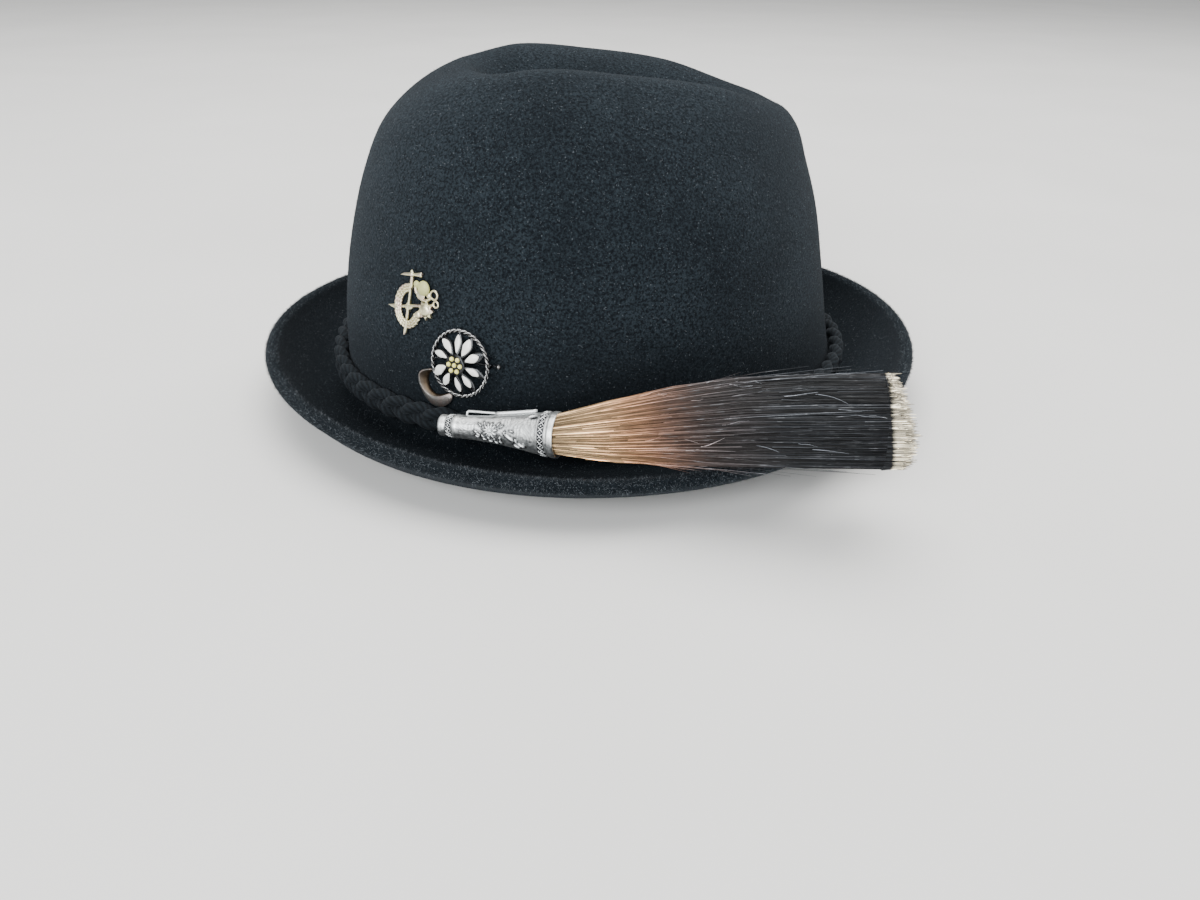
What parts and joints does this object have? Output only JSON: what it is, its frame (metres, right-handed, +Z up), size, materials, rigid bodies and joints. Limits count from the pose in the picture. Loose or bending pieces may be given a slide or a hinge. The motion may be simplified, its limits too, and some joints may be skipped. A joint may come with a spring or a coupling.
{
  "type": "alpine felt hat",
  "caption": "Narrow-brimmed felt hat with a lengthwise dent in the crown, a plaited cord band, a hair brush in a metal ferrule and small pins on one side.",
  "frame": {"origin": "on the surface that the hat rests on, under the middle of its bounding box", "axes": "+Z up the crown, -X towards the wearer's front, -Y the wearer's left, which is the decorated side"},
  "size_m": [0.269, 0.2769, 0.128],
  "materials": {
    "felt": "black velour wool felt with a soft brushed nap",
    "cord": "black twisted wool cord, plaited",
    "silver": "cast and hammered silver, darkened in its hollows",
    "hair": "straight animal hair, brown at the root, black in the middle and ivory at the tips",
    "dark_silver": "darkened silver wire with bright edges",
    "white_enamel": "glossy white enamel",
    "yellow_enamel": "glossy yellow enamel",
    "pale_gold": "cast metal with a worn pale gold wash",
    "tarnished_metal": "tarnished silver-plated metal, brown on its inner wall"
  },
  "bodies": {
    "root": {"felt_body": "felt", "plaited_band": "cord", "brush_ferrule": "silver", "brush_hair": "hair", "edelweiss_frame": "dark_silver", "petal_01": "white_enamel", "petal_02": "white_enamel", "petal_03": "white_enamel", "petal_04": "white_enamel", "petal_05": "white_enamel", "petal_06": "white_enamel", "petal_07": "white_enamel", "petal_08": "white_enamel", "petal_09": "white_enamel", "petal_10": "white_enamel", "seed_1": "yellow_enamel", "seed_2": "yellow_enamel", "seed_3": "yellow_enamel", "seed_4": "yellow_enamel", "seed_5": "yellow_enamel", "seed_6": "yellow_enamel", "seed_7": "yellow_enamel", "mountain_pin": "pale_gold", "crescent_pin": "tarnished_metal"}
  },
  "joints": []
}
